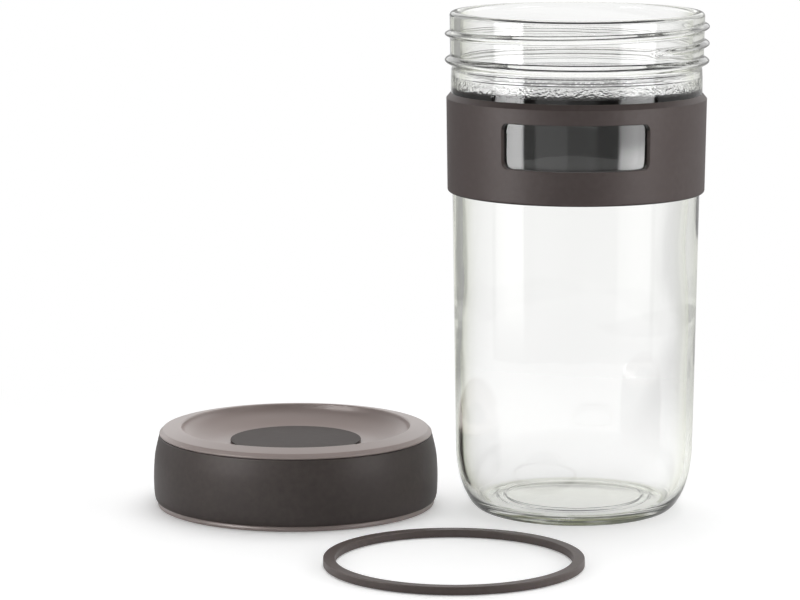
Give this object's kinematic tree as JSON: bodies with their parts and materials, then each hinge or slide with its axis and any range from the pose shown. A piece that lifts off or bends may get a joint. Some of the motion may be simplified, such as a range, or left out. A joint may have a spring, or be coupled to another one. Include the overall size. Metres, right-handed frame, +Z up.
{
  "type": "sourdough starter jar",
  "caption": "Straight-walled wide-mouth glass jar with a windowed silicone marker band, its vented screw lid set down beside it and the flat sealing ring lying in front.",
  "frame": {"origin": "on the counter, at the middle of the ground that the whole set covers: jar, lid and sealing ring", "axes": "+Z up along the jar's axis, +Y away from someone who looks at the jar from the front, +X to their right"},
  "size_m": [0.212, 0.2076, 0.1908],
  "materials": {
    "clear_glass": "smooth pressed soda-lime glass with a faint green tint where it is thick",
    "dark_silicone": "dark brown-grey silicone, fine matt moulding",
    "cap_silicone": "dark brown-grey silicone, satin",
    "seal_silicone": "dark brown-grey silicone, slightly satin",
    "taupe_polypropylene": "satin moulded taupe plastic"
  },
  "bodies": {
    "jar": {"glass_jar": "clear_glass"},
    "band": {"marker_band": "dark_silicone"},
    "lid": {"lid_shell": "taupe_polypropylene", "lid_grip_sleeve": "dark_silicone"},
    "vent": {"vent_cap": "cap_silicone"},
    "seal": {"sealing_ring": "seal_silicone"}
  },
  "joints": [
    {"name": "band_slide", "type": "slide", "parent": "jar", "child": "band", "axis": [0, 0, 1], "range_m": [-0.096, 0.005]},
    {"name": "lid_lift", "type": "slide", "parent": "jar", "child": "lid", "axis": [0, 0, 1], "range_m": [0, 0.2]},
    {"name": "vent_lift", "type": "slide", "parent": "lid", "child": "vent", "axis": [0, 0, 1], "range_m": [0, 0.001], "stiffness_N_per_m": 150},
    {"name": "seal_lift", "type": "slide", "parent": "jar", "child": "seal", "axis": [0, 0, 1], "range_m": [0, 0.2]}
  ]
}
